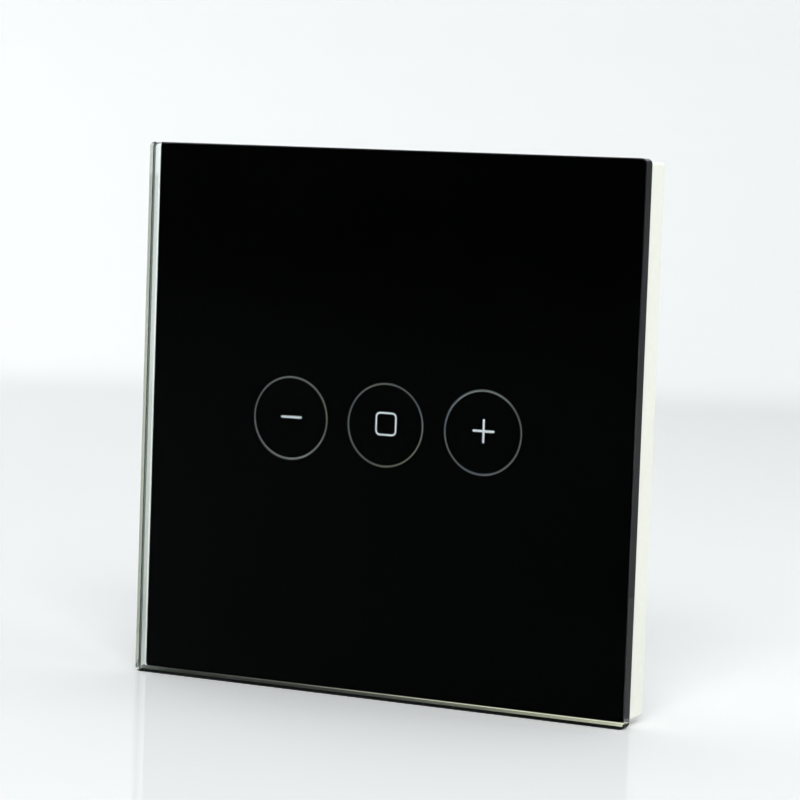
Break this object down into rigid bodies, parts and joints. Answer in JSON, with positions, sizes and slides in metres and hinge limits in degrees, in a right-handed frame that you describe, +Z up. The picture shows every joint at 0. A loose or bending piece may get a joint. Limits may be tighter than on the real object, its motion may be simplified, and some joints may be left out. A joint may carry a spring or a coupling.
{
  "type": "touch dimmer switch",
  "caption": "Square glass touch dimmer for a wall box, with a pull-off front panel, touch keys and a rear housing with screw terminals.",
  "frame": {"origin": "middle of the wall plane, halfway between the two fixing slots", "axes": "+X to the right as seen from the room, +Y into the wall, +Z up"},
  "size_m": [0.086, 0.0354, 0.086],
  "materials": {
    "clear_glass": "clear float glass with polished edges",
    "black_film": "smooth black film seen through glass",
    "grey_ink": "flat screen-printed ink",
    "white_ink": "flat screen-printed ink",
    "foam_tape": "thin closed-cell foam tape",
    "cream_plastic": "fine satin moulding",
    "white_plastic": "satin moulding",
    "diffuser_plastic": "smooth white moulding",
    "spring_steel": "drawn wire",
    "led_resin": "clear resin over phosphor",
    "circuit_board": "solder mask over glass fibre",
    "zinc_steel": "zinc plate",
    "nickel_steel": "nickel plate",
    "black_resin": "moulding resin",
    "tin_plate": "tin-plated sheet",
    "black_plastic": "moulding",
    "gilt_pins": "bright plate",
    "terminal_plastic": "moulding",
    "brass_strip": "rolled strip",
    "blue_coating": "dipped epoxy coat",
    "yellow_case": "moulded case",
    "ferrite": "fired ferrite",
    "copper_winding": "enamelled wire",
    "black_sleeve": "shrunk sleeve",
    "sink_aluminium": "extruded, plain"
  },
  "bodies": {
    "base": {"base_frame": "white_plastic", "rear_housing": "white_plastic", "housing_screws": "zinc_steel", "power_board": "circuit_board", "link_socket": "black_plastic", "terminal_block": "terminal_plastic", "terminal_contacts": "brass_strip", "mains_fuse": "black_resin", "varistor": "blue_coating", "x_capacitor": "yellow_case", "choke_core": "ferrite", "choke_winding": "copper_winding", "transformer_core": "ferrite", "transformer_winding": "copper_winding", "bulk_capacitor": "black_sleeve", "output_capacitor": "black_sleeve", "rectifier": "black_resin", "control_chip": "black_resin", "heat_sink": "sink_aluminium", "power_transistors": "black_resin", "transistor_screws": "zinc_steel"},
    "front_panel": {"glass_panel": "clear_glass", "black_film": "black_film", "ring_inks": "grey_ink", "icon_inks": "white_ink", "tape_frame": "foam_tape", "panel_frame": "cream_plastic", "light_block": "diffuser_plastic", "touch_springs": "spring_steel", "indicator_leds": "led_resin", "touch_board": "circuit_board", "board_screws": "zinc_steel", "touch_chip": "black_resin", "radio_board": "circuit_board", "radio_shield": "tin_plate", "link_header": "black_plastic", "link_pins": "gilt_pins"},
    "terminal_screw_1": {"terminal_screw_1": "zinc_steel"},
    "terminal_cage_1": {"terminal_cage_1": "nickel_steel"},
    "terminal_screw_2": {"terminal_screw_2": "zinc_steel"},
    "terminal_cage_2": {"terminal_cage_2": "nickel_steel"},
    "terminal_screw_3": {"terminal_screw_3": "zinc_steel"},
    "terminal_cage_3": {"terminal_cage_3": "nickel_steel"}
  },
  "joints": [
    {"name": "panel_pull", "type": "slide", "parent": "base", "child": "front_panel", "axis": [0, -1, 0], "range_m": [0, 0.03]},
    {"name": "terminal_screw_1_turn", "type": "hinge", "parent": "base", "child": "terminal_screw_1", "pos_m": [-0.0085, 0.0195, -0.0232], "axis": [0, -1, 0], "range_deg": [0, 1800]},
    {"name": "terminal_cage_1_rise", "type": "slide", "parent": "base", "child": "terminal_cage_1", "axis": [0, 1, 0], "range_m": [0, 0.0025]},
    {"name": "terminal_screw_2_turn", "type": "hinge", "parent": "base", "child": "terminal_screw_2", "pos_m": [0, 0.0195, -0.0232], "axis": [0, -1, 0], "range_deg": [0, 1800]},
    {"name": "terminal_cage_2_rise", "type": "slide", "parent": "base", "child": "terminal_cage_2", "axis": [0, 1, 0], "range_m": [0, 0.0025]},
    {"name": "terminal_screw_3_turn", "type": "hinge", "parent": "base", "child": "terminal_screw_3", "pos_m": [0.0085, 0.0195, -0.0232], "axis": [0, -1, 0], "range_deg": [0, 1800]},
    {"name": "terminal_cage_3_rise", "type": "slide", "parent": "base", "child": "terminal_cage_3", "axis": [0, 1, 0], "range_m": [0, 0.0025]}
  ],
  "couplings": [
    {"joint": "terminal_screw_1_turn", "follows": "terminal_cage_1_rise", "rad_per_m": 12566},
    {"joint": "terminal_screw_2_turn", "follows": "terminal_cage_2_rise", "rad_per_m": 12566},
    {"joint": "terminal_screw_3_turn", "follows": "terminal_cage_3_rise", "rad_per_m": 12566}
  ]
}
